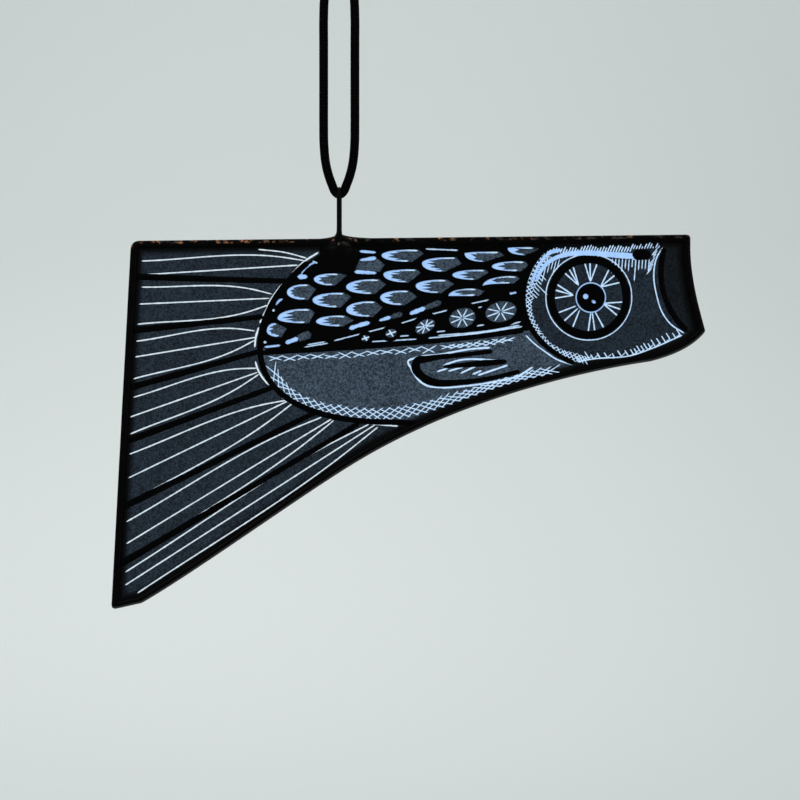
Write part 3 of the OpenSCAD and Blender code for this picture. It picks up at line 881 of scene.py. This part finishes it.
def head_strokes():
    """Fans and a ring round the eye, hatching over it and along the cheek, and the mouth line."""
    strokes = []
    for outer, inner in EYE_FANS:
        for a, b in zip(outer, inner):
            strokes.append(scratch([polar(EYE_AT, FAN_IN, b), polar(EYE_AT, FAN_OUT, a)], 0.28, 0.36))
    for turn in (0, 90, 180, 270):
        arc = [polar(EYE_AT, RING_OUT, turn + step) for step in range(0, 97, 12)]
        strokes.append(scratch(arc, 0.26))
    strokes += hatch(CHEEK_BAND, CHEEK_HALF, 0.95, 2.0, 0.22)
    strokes += comb(row((44.4, -7.6), (43.2, -12.4), 0.8), (1.5, -1.5), 0.24, 0.3)
    strokes += comb(row((46.8, -3.4), (64.8, -3.1), 0.62), (0.6, 1.3), 0.3, 0.2)
    strokes += comb(row((65.6, -2.5), (71.2, -2.2), 0.6), (0.5, 1.0), 0.26, 0.2)
    strokes += comb(row((46.3, -5.6), (49.2, -4.6), 0.62), (-0.9, -3.6), 0.22, 0.3)
    strokes += comb(row((61, -4.5), (69.2, -4.6), 0.7), (-0.25, -3.2), 0.26, 0.35)
    strokes += comb(row((71.2, -2), (69.9, -6.4), 0.75), (-1.1, -1.4), 0.24, 0.3)
    strokes.append(scratch(JAW_LINE, 0.3))
    along = np.arange(0.2, len(JAW_LINE) - 1, 0.17)
    starts = np.stack([np.interp(along, range(len(JAW_LINE)), part) for part in np.array(JAW_LINE).T], 1)
    strokes += comb(starts, (-0.8, 1.25), 0.28, 0.2)
    strokes += comb(starts[1::2], (1.0, 0.9), 0.22, 0.2)
    return strokes + [scratch(MOUTH_LINE, FINE)]


def matt_finish(name, tone):
    """Matt slate paint: a coarse stipple left by the brush, with painted shade that darkens it in a band
    along the rim. The rim attribute runs from 0 at the solder's lip to 1 where the painted shade band ends."""
    finish = Finish(name, Specular_IOR_Level=0.05)
    inset = finish.node("ShaderNodeAttribute", {"attribute_name": "rim"}, out="Fac")
    # Painted shade: the colour falls to near black towards the solder's lip.
    rim = finish.ramp(inset, (0.3, 0.0), (0.85, 1.0))
    stipple = finish.noise(2900.0, 2.0, 0.6)
    cloud = finish.noise(140.0, 4.0, 0.6)
    grain = finish.ramp(stipple * 0.85 + cloud * 0.15, (0.4, 0.0), (0.62, 1.0))
    pale, dark = tuple(1.65 * c for c in tone), tuple(0.4 * c for c in tone)
    deep = tuple(0.04 * c for c in tone)
    finish.feed(
        Base_Color=finish.mix(rim, deep, finish.mix(grain, dark, pale)),
        Roughness=0.62 + grain * 0.25,
        Normal=finish.bump(stipple, 0.00005, 0.7),
    )
    return finish.material


def matt_zone(name, node, inside, outside, tone):
    """One zone of the coat, with the distance from the solder's lip kept on each of its points for its
    painted shade.
    """
    outside = [ellipse(BLOB_AT, BLOB_R, BLOB_R, count=64), *outside]
    material = matt_finish(name, tone)
    piece, flat = film(name, [PANEL, *inside], outside, MATT_BACK, MATT_FRONT, material, lines=SHADE_LINES)
    gap = np.full(len(flat), np.inf)
    for part in np.array_split(PANEL, 12):
        gap = np.minimum(gap, np.linalg.norm(flat[:, None] - part[None], axis=2).min(1))
    rim = piece.data.attributes.new("rim", "FLOAT", "POINT")
    rim.data.foreach_set("value", np.clip(gap / (SHADE_AT[-1] - COAT_INSET), 0, 1).astype(np.float32))
    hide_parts(node)


SLATE, TAIL_SLATE = (0.037, 0.053, 0.075), (0.0135, 0.020, 0.029)
HEAD_SLATE, MOUTH_SLATE = (0.0115, 0.0175, 0.026), (0.0045, 0.0068, 0.0092)
matt_zone("matt_tail_coat", "matt_tail", [], [BODY_SIDE, *tail_strokes()], TAIL_SLATE)
body_holes = [*crescents, *BLUE_STROKES, *FIELD_STROKES, *body_strokes()]
matt_zone("matt_body_coat", "matt_body", [BODY_SIDE], [HEAD_SIDE, *body_holes], SLATE)
head_holes = [GILL_BAND, LID_BAND, IRIS, *head_strokes()]
matt_zone("matt_head_coat", "matt_head", [HEAD_SIDE], [MOUTH_SIDE, *head_holes], HEAD_SLATE)
matt_zone("matt_mouth_coat", "matt_mouth", [MOUTH_SIDE], [], MOUTH_SLATE)

# ---------------------------------------------------------------------------------------------
# The trace lines: thick black glass paint, flowed on over the matt coat with a full brush, so
# each stands proud with a rounded back. The field between the scales is filled in solid.
# ---------------------------------------------------------------------------------------------
TRACE_BACK, TRACE_T = -1.555 * MM, 0.12 * MM
TRACE_W = 1.3


def trace_finish(name="trace_black"):
    """Fired black paint: near black, half glossy, with a faint dragged-brush unevenness."""
    finish = Finish(name, Specular_IOR_Level=0.012)
    drag = finish.noise(700.0, 3.0, 0.6)
    finish.feed(
        Base_Color=finish.mix(drag, (0.0002, 0.0002, 0.0003), (0.0012, 0.0013, 0.0016)),
        Roughness=0.34 + drag * 0.3,
        Normal=finish.bump(drag, 0.00006, 0.6),
    )
    return finish.material


def bead_line(points, *widths, closed=False, step=0.4, wobble=0.05):
    """A raised line: half an ellipse carried along the points, thinning to a round end. The
    widths are evenly spaced along it."""
    path = np.concatenate([points, points[:1]]) if closed else points
    line = through(path, step)
    if closed:
        line = line[:-1]
    run = np.concatenate([[0], np.cumsum(np.linalg.norm(np.diff(line, axis=0), axis=1))])
    wide = np.interp(run / run[-1], np.linspace(0, 1, len(widths)), widths)
    places = np.arange(0, run[-1] + 3, 1.5)
    wide = wide * (1 + wobble * np.interp(run, places, rng.normal(size=len(places))))
    if closed:
        way = np.roll(line, -1, 0) - np.roll(line, 1, 0)
        taper = np.ones(len(line))
    else:
        way = np.gradient(line, axis=0)
        to_end = np.minimum(run, run[-1] - run) / (0.5 * wide)
        taper = np.sqrt(np.clip(1 - (1 - np.minimum(to_end, 1)) ** 2, 0.01, 1))
    side = unit(way)[:, ::-1] * (1, -1)
    turn = np.linspace(0, math.pi, 9)
    across = 0.5 * (wide * taper)[:, None] * np.cos(turn)
    rise = TRACE_T * taper[:, None] * np.sin(turn)
    flat = line[:, None] + side[:, None] * across[..., None]
    points = placed(flat.reshape(-1, 2), TRACE_BACK - rise.ravel())
    columns = len(turn)
    faces = grid_faces(len(line), columns, close_rows=closed, close_columns=True).tolist()
    if not closed:
        last = (len(line) - 1) * columns
        faces += [list(range(columns)), list(range(last, last + columns))[::-1]]
    return points, faces


def trace(name, node, lines, material):
    """Raised lines as one piece."""
    points, faces = [], []
    for line_points, line_faces in lines:
        start = sum(len(p) for p in points)
        points.append(line_points)
        faces += [[start + i for i in face] for face in line_faces]
    piece = surface(name, np.concatenate(points), faces, material)
    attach(piece, "panel")
    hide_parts(node)
    return piece


RAYS = [
    [(-45.4, -8.6), (-30, -9.1), (-11.2, -9.6)], [(-46.1, -20.6), (-16.9, -17.5)],
    [(-46.8, -33.4), (-17.6, -25.2)], [(-47.4, -45.3), (-14.3, -33.1)],
    [(-48.2, -60), (-4.6, -38.5)], [(-48.9, -72.8), (4.6, -41.2)],
]
RAY_W0, RAY_W1 = 1.55, 1.15
trace_black = trace_finish()
trace("trace_rays", "trace_tail_rays", [bead_line(r, RAY_W0, RAY_W1) for r in RAYS], trace_black)
oval_line = BODY_EDGE[4:]
trace("trace_oval", "trace_body_edge", [bead_line(oval_line, TRACE_W)], trace_black)
trace("trace_side", "trace_side_line", [bead_line(SIDE_LINE, 1.1, 0.9)], trace_black)

FIELD = np.concatenate([
    [(-3, 1)], BODY_EDGE[1:24], SIDE_LINE[1:], GILL_EDGE[GILL_EDGE[:, 1] > -20.5][::-1], [(45.4, 1)],
])
# A scale that is half hidden by the solder blob
HIDDEN_SCALE = np.array([(4.4, -5.1), (8.4, -4.4), (10.2, -5.9), (9.1, -7.5), (3.4, -7.7)])
STAR_WINDOWS = [ellipse(centre, rx + 0.1, rz + 0.1, lean) for centre, rx, rz, lean in STARS]
CROSS_WINDOWS = [ellipse(centre, r, 0.75 * r, 15) for centre, r in CROSSES]
field_holes = [scale_window(s) for s in SCALES] + sliver_windows + BLUE_STROKES[3:] + FIELD_STROKES
field_holes += [HIDDEN_SCALE] + STAR_WINDOWS + CROSS_WINDOWS
field_holes += [scratch(points, 0.36, wobble=0.05) for points in DASHES]
field, _ = film(
    "trace_field", [FIELD, PANEL], [ellipse(BLOB_AT, BLOB_R, BLOB_R, count=64), *field_holes],
    MATT_FRONT, MATT_FRONT - 0.1 * MM, trace_black,
)
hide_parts("trace_scales")

SPOT_RINGS = [((19.2, -19.7), 3.0, 2.0, 28), ((27.5, -17.8), 3.6, 2.8, 15), ((36.1, -16.4), 4.1, 2.9, 12)]
SMALL_RINGS = [((5.9, -22.3), 1.4, 1.1, 15), ((11.6, -21.2), 1.9, 1.35, 15)]
SPOTS = [((-1.8, -23.3), 0.7), ((1.8, -23), 0.75)]


def dot(centre, radius):
    """A round blob of paint: one short, fat bead."""
    (x, z), r = centre, radius
    return bead_line([(x - r, z), (x, z + 0.01), (x + r, z)], 2 * r, step=0.12, wobble=0)


def ring_line(centre, rx, rz, lean, width):
    return bead_line(ellipse(centre, rx, rz, lean), width, closed=True, step=0.3)


spot_lines = [ring_line(*spot, 1.2) for spot in SPOT_RINGS]
spot_lines += [ring_line(*spot, 0.9) for spot in SMALL_RINGS]
spot_lines += [dot(*spot) for spot in SPOTS]
trace("trace_spots", "trace_side_spots", spot_lines, trace_black)
FIN_LINE = [
    (34.3, -25.2), (28, -26), (20, -26.9), (17.3, -27.6), (17.1, -28.8), (19, -31.2), (21.4, -32.2),
    (26, -32.2), (33, -31.4), (40.4, -29.7),
]
fin_lines = [
    bead_line(FIN_LINE, 1.0, 1.0, 1.2, 1.9, 1.7, 1.1, 1.0, 1.0),
    bead_line([(23.2, -28.7), (30, -28.1), (37.5, -27.5)], 0.7, 1.1, 1.5, 0.9),
]
trace("trace_fin_lines", "trace_fin", fin_lines, trace_black)
gill_line = bead_line([(48, -1.5), (46.4, -2.1), *GILL_EDGE], 1.6, TRACE_W, 1.2, 1.1)
trace("trace_gill_line", "trace_gill", [gill_line], trace_black)
RING_R, RING_W = 8.4, 1.75
eye_lines = [
    ring_line(EYE_AT, RING_R, RING_R, 0, RING_W),
    bead_line([(65.4, -3.7), (69.6, -3.7)], 2.2),
]
trace("trace_eye_lines", "trace_eye", eye_lines, trace_black)
GLINTS = [ellipse((55.0, -13.0), 0.62, 0.62, count=20), ellipse((56.8, -14.2), 0.5, 0.36, -30, 20)]
pupil, _ = film(
    "trace_pupil", [ellipse(IRIS_AT, PUPIL_R, PUPIL_R, count=64)], GLINTS,
    MATT_BACK - 0.03 * MM, MATT_FRONT - 0.1 * MM, trace_black,
)
trace("trace_mouth_line", "trace_mouth", [bead_line(MOUTH_EDGE, TRACE_W)], trace_black)

# ---------------------------------------------------------------------------------------------
# The foil and its solder: copper foil is folded over the edge of the glass and onto a spot under
# the eye. Solder is run round it in one rounded bead, then turned black with patina.
# ---------------------------------------------------------------------------------------------
LIP_INSET, EDGE_INSET = 1.65, 0.42
FOIL_Y, BEAD_RISE = 1.55, 0.6
# Each swell or sway of the bead takes this many points of the outline, and goes this far
SWELL_POINTS, SWELL = 9, 0.10
SWAY_POINTS, SWAY = 7, 0.05
# Painted highlight: copper glints on the front dome within TOP_BAND of the top edge, where light falls from
# above; a faint rubbed patina elsewhere
TOP_BAND, TOP_GLINT, SIDE_WEAR = 3.2 * MM, 0.78, 0.12
TOP_CREST, SIDE_CREST, SHOULDER = slice(5, 10), slice(4, 8), slice(7, 14)


def copper_finish():
    """Bright copper foil, creased where it was rubbed down."""
    finish = Finish("copper_foil", Metallic=1.0)
    crease = finish.noise(500.0, 3.0, 0.7)
    finish.feed(
        Base_Color=finish.mix(crease, (0.55, 0.24, 0.13), (0.80, 0.42, 0.27)),
        Roughness=0.25 + crease * 0.25,
        Normal=finish.bump(crease, 0.0001, 0.5),
    )
    return finish.material


copper = copper_finish()
for node in ("copper_foil", "foil_patch_front", "foil_patch_back"):
    coat(node, copper)


def patina_finish():
    """Solder under black patina: a soft dark sheen, pitted, and copper-brown and grey where the points are
    marked for rubbed patina, faint on the sides, or for painted highlight glints along the top edge and on
    the blob; glossy where the shine attribute is."""
    finish = Finish("black_patina", Specular_IOR_Level=0.018, Coat_Roughness=0.14)
    shine = finish.node("ShaderNodeAttribute", {"attribute_name": "shine"}, out="Fac")
    wear = finish.node("ShaderNodeAttribute", {"attribute_name": "wear"}, out="Fac")
    cloud = finish.noise(260.0, 4.0, 0.6)
    pits = finish.noise(2200.0, 2.0, 0.6)
    spots = finish.noise(620.0, 3.0, 0.6)
    # Copper-brown shows through where points are marked for rubbed patina or for painted highlight glints.
    rub_and_glint = finish.ramp((wear + spots * 0.9 + pits * 0.25) * 0.5, (0.69, 0.0), (0.76, 1.0))
    grey = finish.mix(pits, (0.02, 0.019, 0.018), (0.05, 0.046, 0.042))
    metal = finish.mix(finish.ramp(cloud, (0.45, 0.0), (0.55, 1.0)), grey, (0.26, 0.115, 0.058))
    black = finish.mix(cloud, (0.0002, 0.0002, 0.0002), (0.0016, 0.0014, 0.0013))
    finish.feed(
        Base_Color=finish.mix(rub_and_glint, black, metal),
        Metallic=rub_and_glint * 0.8,
        Coat_Weight=shine * 0.9,
        Roughness=0.26 + cloud * 0.22,
        Normal=finish.bump(cloud + pits * 0.3, 0.00018, 0.6),
    )
    return finish.material


def bead_section():
    """The bead's section as insets and depths: a dome on the front, the outer face, a dome on
    the back, and a return close round the glass."""
    turn = np.linspace(0, math.pi, 11)
    inset = LIP_INSET * 0.5 * (1 + np.cos(turn))
    rise = BEAD_RISE * np.sin(turn) ** 0.75
    front = np.stack([inset, -(FOIL_Y + rise)], 1)
    side = np.stack([np.zeros(3), np.linspace(-0.75, 0.75, 3)], 1)
    back = front[::-1] * (1, -1)
    inner = np.array([(EDGE_INSET, FOIL_Y + 0.01), (EDGE_INSET, -FOIL_Y - 0.01)])
    return np.concatenate([front, side, back, inner])


def ripple(count, pitch, spread):
    """Smooth unevenness round a closed line: random heights at even places, joined by cosines."""
    knots = max(int(count / pitch), 4)
    heights = rng.normal(size=knots) * spread
    place = np.linspace(0, knots, count, endpoint=False)
    i = place.astype(int)
    t = 0.5 - 0.5 * np.cos(math.pi * (place - i))
    return heights[i % knots] * (1 - t) + heights[(i + 1) % knots] * t


def mark(piece, name, values):
    """Keeps one number on each point of a piece, for its finish to read."""
    layer = piece.data.attributes.new(name, "FLOAT", "POINT")
    layer.data.foreach_set("value", np.asarray(values, np.float32).ravel())


def add_rim(material):
    """The bead's section carried round the outline. It swells and sways unevenly, has painted highlight
    glints on its front dome along the top edge and faint rubbing elsewhere, and shines on its outer shoulder
    where the outline faces down."""
    section = bead_section()
    rings = []
    count = len(outline(0))
    swell, sway = ripple(count, SWELL_POINTS, SWELL), ripple(count, SWAY_POINTS, SWAY)
    for inset, depth in section:
        over = np.clip(abs(depth) - FOIL_Y, 0, None)
        flat = outline(inset) + (sway * (over / BEAD_RISE))[:, None] * (0.3, 0.3)
        rings.append(placed(flat, (math.copysign(1, depth) * over * swell + depth) * MM))
    points = np.stack(rings, 1)
    rows, columns = points.shape[:2]
    rim = surface("solder_rim", points.reshape(-1, 3), grid_faces(rows, columns, True, True), material)
    wear = np.zeros((rows, columns))
    # Painted highlight: copper glints on the front dome along the top edge.
    top = points[:, 0, 2] > TOP_Z - TOP_BAND
    wear[top, TOP_CREST] = TOP_GLINT
    wear[~top, SIDE_CREST] = SIDE_WEAR
    mark(rim, "wear", wear)
    edge = outline(0)
    along = np.roll(edge, -1, 0) - np.roll(edge, 1, 0)
    below = np.clip(along[:, 0] / -np.linalg.norm(along, axis=1) * 2 - 0.6, 0, 1)
    shine = np.zeros((rows, columns))
    shine[:, SHOULDER] = below[:, None]
    mark(rim, "shine", shine)
    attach(rim, "panel")
    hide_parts("solder_edge", "solder_bead_front", "solder_bead_back")


patina = patina_finish()
add_rim(patina)

# ---------------------------------------------------------------------------------------------
# The hanger: 1 mm copper wire bent to a hairpin astride the glass, its bow turned up as the eye.
# A blob of solder buries both legs and draws up round them at the top edge.
# ---------------------------------------------------------------------------------------------
wire_low, wire_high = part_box("hanger_wire")
WIRE_R = 0.5 * (wire_high.x - wire_low.x)
BOW_R = 0.5 * (wire_high.y - wire_low.y) - WIRE_R
BOW_Z = wire_high.z - WIRE_R - BOW_R
BALL_R, BALL_TOP, BALL_LOW, BALL_DEEP = 4.2 * MM, 2.8 * MM, 4.2 * MM, 3.75 * MM
SKIRT, SKIRT_DEEP = 0.14, 0.35 * MM
# Painted highlight: copper glints down the blob's middle: their strength, half width and reach below the top
# edge
BALL_GLINT, BALL_GLINT_W, BALL_GLINT_LOW = 1.05, 0.45 * MM, 1.9 * MM
FLARE, FLARE_H = 0.45 * MM, 0.4 * MM
# The fillet along the top edge: its middle and half length, and how it falls to tail and head
FILLET_MID, FILLET_HALF = 1.6, 7.0
FILLET_H, FILLET_THIN, FILLET_SUNK = 1.15, 0.22, 0.25
FALL_TAIL, FALL_HEAD = 1.5, 2.1


def add_wire(material):
    """A round tube along the hairpin. Solder has wetted the legs, so they flare at the top
    edge: the radius falls off with height as a spent wave does."""
    turn = np.linspace(math.pi, 0, 25)
    bow_line = np.stack([BOW_R * np.cos(turn), BOW_Z + BOW_R * np.sin(turn)], 1)
    leg = np.linspace(wire_low.z, BOW_Z, 34)[:-1]
    path = np.concatenate([
        np.stack([np.full(len(leg), -BOW_R), leg], 1), bow_line,
        np.stack([np.full(len(leg), BOW_R), leg[::-1]], 1),
    ])
    centres = np.stack([np.zeros(len(path)), path[:, 0], path[:, 1]], 1)
    above = np.maximum(path[:, 1] - TOP_Z - 0.5 * MM, 0)
    radius = WIRE_R + FLARE * np.exp(-above / FLARE_H) * (path[:, 1] < BOW_Z)
    sides = 18
    wire = surface("hanger", tube(centres, radius, sides, (1, 0, 0)), tube_faces(len(path), sides), material)
    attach(wire, "panel")
    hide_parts("hanger_wire")


def weld(piece):
    """Merges points that lie together, such as the rows at a pole, and turns the skin out."""
    mesh = bmesh.new()
    mesh.from_mesh(piece.data)
    bmesh.ops.remove_doubles(mesh, verts=mesh.verts, dist=1e-7)
    bmesh.ops.recalc_face_normals(mesh, faces=mesh.faces)
    mesh.to_mesh(piece.data)
    mesh.free()
    piece.data.shade_smooth()


def add_solder_ball(material):
    """The blob: a squashed ball through the panel, less tall above its middle than below, with
    its skirt spread where it wets the foil."""
    rows, columns = 40, 64
    up = np.linspace(-math.pi / 2, math.pi / 2, rows)[:, None]
    turn = np.linspace(0, 2 * math.pi, columns, endpoint=False)[None, :]
    y = BALL_DEEP * np.sin(up) + 0 * turn
    flat = np.cos(up) ** 0.9
    x = BALL_R * flat * np.cos(turn)
    z = np.where(np.sin(turn) > 0, BALL_TOP, BALL_LOW) * flat * np.sin(turn)
    skirt = 1 + SKIRT * np.exp(-((np.abs(y) - FOIL_Y * MM) / SKIRT_DEEP) ** 2)
    lump = 1 + 0.02 * np.sin(3 * turn + 1) + 0.015 * np.sin(5 * turn)
    points = np.stack([x * skirt * lump, y, z * skirt * lump + TOP_Z + BLOB_AT[1] * MM], -1)
    faces = grid_faces(rows, columns, close_columns=True)
    ball = surface("solder_blob", points.reshape(-1, 3), faces, material)
    weld(ball)
    place = np.empty(len(ball.data.vertices) * 3)
    ball.data.vertices.foreach_get("co", place)
    x, y, z = place.reshape(-1, 3).T
    # Painted highlight: copper glints in a narrow stripe down the blob's middle, near the top edge.
    mark(ball, "wear", BALL_GLINT * np.exp(-(x / BALL_GLINT_W) ** 2) * (z > TOP_Z - BALL_GLINT_LOW))
    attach(ball, "panel")
    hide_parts("solder_blob_front", "solder_blob_back")


def add_fillet(material):
    """Solder drawn along the top edge: half an ellipse across the glass, highest at the wire,
    falling away on each side as the edge of a pool does, and longer towards the head."""
    across = np.linspace(FILLET_MID - FILLET_HALF, FILLET_MID + FILLET_HALF, 90)
    fall = np.where(across < 0, FALL_TAIL, FALL_HEAD)
    taper = np.sqrt(np.clip(1 - (np.abs(across - FILLET_MID) / FILLET_HALF) ** 2, 0.0, 1))
    height = (FILLET_H * np.exp(-np.abs(across) / fall) + FILLET_THIN) * taper
    turn = np.linspace(0, math.pi, 17)
    half = (FOIL_Y + 0.3) * MM
    y = -half * np.cos(turn)[None, :] * np.maximum(taper, 0.02)[:, None]
    edge = np.interp(across, [TAIL_TOP[0], CROWN[0]], [TAIL_TOP[1], CROWN[1]])
    arch = (height[:, None] + FILLET_SUNK) * np.sin(turn)[None, :]
    z = TOP_Z + (edge[:, None] - FILLET_SUNK + arch) * MM
    x = np.broadcast_to(across[:, None] * MM, y.shape)
    points = np.stack([x, y, z], -1).reshape(-1, 3)
    columns = len(turn)
    faces = grid_faces(len(across), columns, close_columns=True).tolist()
    last = (len(across) - 1) * columns
    faces += [list(range(columns)), list(range(last, last + columns))[::-1]]
    fillet = surface("solder_collar", points, faces, material)
    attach(fillet, "panel")
    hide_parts("solder_fillet")


add_wire(patina)
add_solder_ball(patina)
add_fillet(patina)
